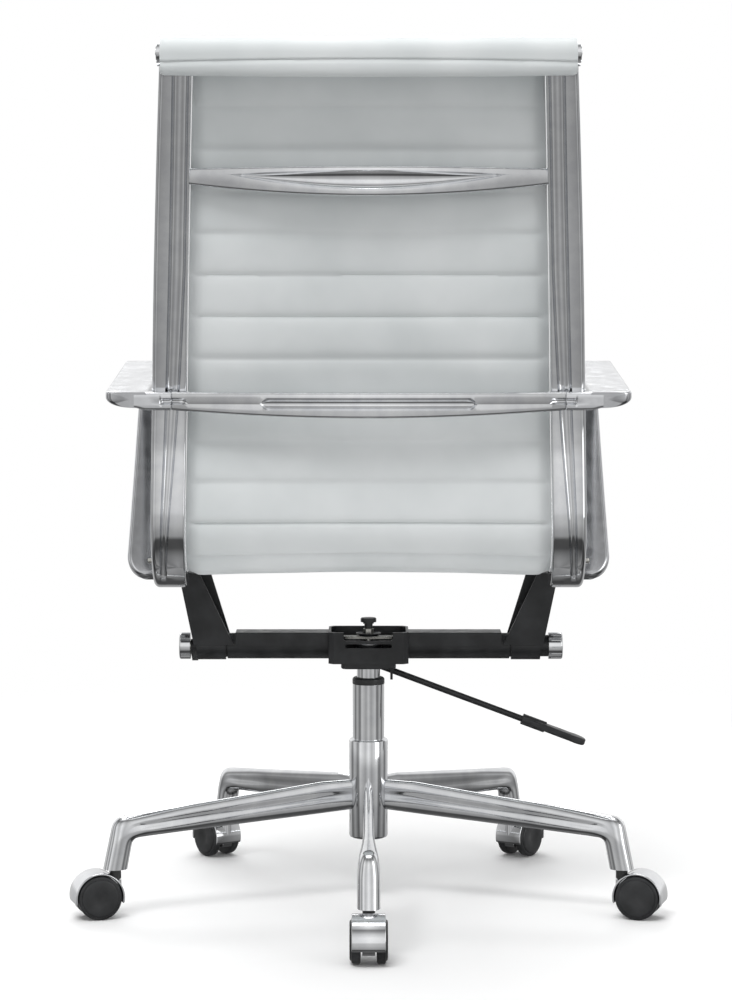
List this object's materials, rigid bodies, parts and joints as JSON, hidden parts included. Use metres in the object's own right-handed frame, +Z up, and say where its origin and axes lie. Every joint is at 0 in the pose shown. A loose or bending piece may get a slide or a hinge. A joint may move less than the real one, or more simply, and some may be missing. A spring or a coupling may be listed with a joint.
{
  "type": "swivel office chair",
  "caption": "High-back swivel office chair with a padded leather sling between cast side rails, loop arms, tilt, gas lift and casters.",
  "frame": {"origin": "on the floor, on the swivel axis", "axes": "+Z up, +Y to the rear of the chair, +X to the sitter's left"},
  "size_m": [0.7082, 0.676, 1.0175],
  "materials": {
    "polished_aluminium": "polished cast aluminium, mirror bright",
    "chrome": "polished chrome plate",
    "white_leather": "white fine-grained leather, satin",
    "black_steel": "black powder coat, semi-gloss",
    "black_plastic": "black moulded nylon, fine texture",
    "zinc_steel": "bright zinc plate",
    "dark_steel": "blackened steel",
    "nylon": "natural nylon",
    "rubber": "moulded rubber"
  },
  "bodies": {
    "base": {"star_base": "polished_aluminium", "caster_stems": "dark_steel", "stand_tube": "chrome", "stand_tube_bush": "black_plastic", "thrust_bearing": "zinc_steel"},
    "spindle": {"piston_rod": "zinc_steel"},
    "mechanism": {"pressure_tube": "chrome", "mech_housing": "black_steel", "socket_plate": "black_steel", "housing_bolts": "zinc_steel", "torsion_tubes": "black_steel", "beam_covers": "black_steel", "torsion_sleeves": "rubber"},
    "valve_pin": {"release_pin": "zinc_steel"},
    "lever": {"lever_rod": "black_steel", "lever_paddle": "black_plastic", "release_rocker": "zinc_steel", "release_bolt": "black_steel", "release_nut": "zinc_steel", "release_washer": "black_steel"},
    "seat": {"yoke_left": "black_steel", "yoke_right": "black_steel", "yoke_bushes": "nylon", "yoke_screws": "zinc_steel", "torsion_bars": "zinc_steel", "end_cap": "chrome", "side_rail_left": "polished_aluminium", "side_rail_right": "polished_aluminium", "upper_spreader": "polished_aluminium", "lower_spreader": "polished_aluminium", "seat_spreader": "polished_aluminium", "arm_left": "polished_aluminium", "arm_right": "polished_aluminium", "arm_screws": "zinc_steel", "top_bar": "dark_steel", "front_bar": "dark_steel", "bar_caps": "chrome", "sling": "white_leather"},
    "tilt_lock": {"tilt_lock_lever": "black_plastic"},
    "tension": {"tension_knob": "chrome"},
    "caster_1": {"caster_1_hood": "chrome", "caster_1_axle": "zinc_steel"},
    "caster_1_left": {"caster_1_wheel_left": "black_plastic"},
    "caster_1_right": {"caster_1_wheel_right": "black_plastic"},
    "caster_2": {"caster_2_hood": "chrome", "caster_2_axle": "zinc_steel"},
    "caster_2_left": {"caster_2_wheel_left": "black_plastic"},
    "caster_2_right": {"caster_2_wheel_right": "black_plastic"},
    "caster_3": {"caster_3_hood": "chrome", "caster_3_axle": "zinc_steel"},
    "caster_3_left": {"caster_3_wheel_left": "black_plastic"},
    "caster_3_right": {"caster_3_wheel_right": "black_plastic"},
    "caster_4": {"caster_4_hood": "chrome", "caster_4_axle": "zinc_steel"},
    "caster_4_left": {"caster_4_wheel_left": "black_plastic"},
    "caster_4_right": {"caster_4_wheel_right": "black_plastic"},
    "caster_5": {"caster_5_hood": "chrome", "caster_5_axle": "zinc_steel"},
    "caster_5_left": {"caster_5_wheel_left": "black_plastic"},
    "caster_5_right": {"caster_5_wheel_right": "black_plastic"}
  },
  "joints": [
    {"name": "swivel", "type": "hinge", "parent": "base", "child": "spindle", "pos_m": [0, 0, 0.09], "axis": [0, 0, 1], "continuous": true},
    {"name": "seat_height", "type": "slide", "parent": "spindle", "child": "mechanism", "axis": [0, 0, 1], "range_m": [0, 0.1]},
    {"name": "tilt", "type": "hinge", "parent": "mechanism", "child": "seat", "pos_m": [0, 0, 0.31], "axis": [-1, 0, 0], "range_deg": [0, 12], "stiffness_Nm_per_rad": 90, "springref_deg": -14.32},
    {"name": "tilt_lock", "type": "hinge", "parent": "seat", "child": "tilt_lock", "pos_m": [0.211, 0, 0.31], "axis": [1, 0, 0], "range_deg": [0, 50]},
    {"name": "tension_adjust", "type": "hinge", "parent": "seat", "child": "tension", "pos_m": [-0.2256, 0, 0.31], "axis": [-1, 0, 0], "range_deg": [-360, 360]},
    {"name": "height_lever", "type": "hinge", "parent": "mechanism", "child": "lever", "pos_m": [-0.028, -0.021, 0.2774], "axis": [0, 1, 0], "range_deg": [0, 5], "stiffness_Nm_per_rad": 1.5, "springref_deg": -8.59},
    {"name": "valve", "type": "slide", "parent": "mechanism", "child": "valve_pin", "axis": [0, 0, -1], "range_m": [0, 0.003]},
    {"name": "caster_1_swivel", "type": "hinge", "parent": "base", "child": "caster_1", "pos_m": [0, 0.315, 0.04], "axis": [0, 0, 1], "continuous": true},
    {"name": "caster_1_left_spin", "type": "hinge", "parent": "caster_1", "child": "caster_1_left", "pos_m": [0, 0.337, 0.026], "axis": [1, 0, 0], "continuous": true},
    {"name": "caster_1_right_spin", "type": "hinge", "parent": "caster_1", "child": "caster_1_right", "pos_m": [0, 0.337, 0.026], "axis": [1, 0, 0], "continuous": true},
    {"name": "caster_2_swivel", "type": "hinge", "parent": "base", "child": "caster_2", "pos_m": [-0.29958, 0.09734, 0.04], "axis": [0, 0, 1], "continuous": true},
    {"name": "caster_2_left_spin", "type": "hinge", "parent": "caster_2", "child": "caster_2_left", "pos_m": [-0.32051, 0.10414, 0.026], "axis": [0.309, 0.9511, 0], "continuous": true},
    {"name": "caster_2_right_spin", "type": "hinge", "parent": "caster_2", "child": "caster_2_right", "pos_m": [-0.32051, 0.10414, 0.026], "axis": [0.309, 0.9511, 0], "continuous": true},
    {"name": "caster_3_swivel", "type": "hinge", "parent": "base", "child": "caster_3", "pos_m": [-0.18515, -0.25484, 0.04], "axis": [0, 0, 1], "continuous": true},
    {"name": "caster_3_left_spin", "type": "hinge", "parent": "caster_3", "child": "caster_3_left", "pos_m": [-0.19808, -0.27264, 0.026], "axis": [-0.809, 0.5878, 0], "continuous": true},
    {"name": "caster_3_right_spin", "type": "hinge", "parent": "caster_3", "child": "caster_3_right", "pos_m": [-0.19808, -0.27264, 0.026], "axis": [-0.809, 0.5878, 0], "continuous": true},
    {"name": "caster_4_swivel", "type": "hinge", "parent": "base", "child": "caster_4", "pos_m": [0.18515, -0.25484, 0.04], "axis": [0, 0, 1], "continuous": true},
    {"name": "caster_4_left_spin", "type": "hinge", "parent": "caster_4", "child": "caster_4_left", "pos_m": [0.19808, -0.27264, 0.026], "axis": [-0.809, -0.5878, 0], "continuous": true},
    {"name": "caster_4_right_spin", "type": "hinge", "parent": "caster_4", "child": "caster_4_right", "pos_m": [0.19808, -0.27264, 0.026], "axis": [-0.809, -0.5878, 0], "continuous": true},
    {"name": "caster_5_swivel", "type": "hinge", "parent": "base", "child": "caster_5", "pos_m": [0.29958, 0.09734, 0.04], "axis": [0, 0, 1], "continuous": true},
    {"name": "caster_5_left_spin", "type": "hinge", "parent": "caster_5", "child": "caster_5_left", "pos_m": [0.32051, 0.10414, 0.026], "axis": [0.309, -0.9511, 0], "continuous": true},
    {"name": "caster_5_right_spin", "type": "hinge", "parent": "caster_5", "child": "caster_5_right", "pos_m": [0.32051, 0.10414, 0.026], "axis": [0.309, -0.9511, 0], "continuous": true}
  ],
  "couplings": [
    {"joint": "valve", "follows": "height_lever", "m_per_rad": 0.0343}
  ]
}
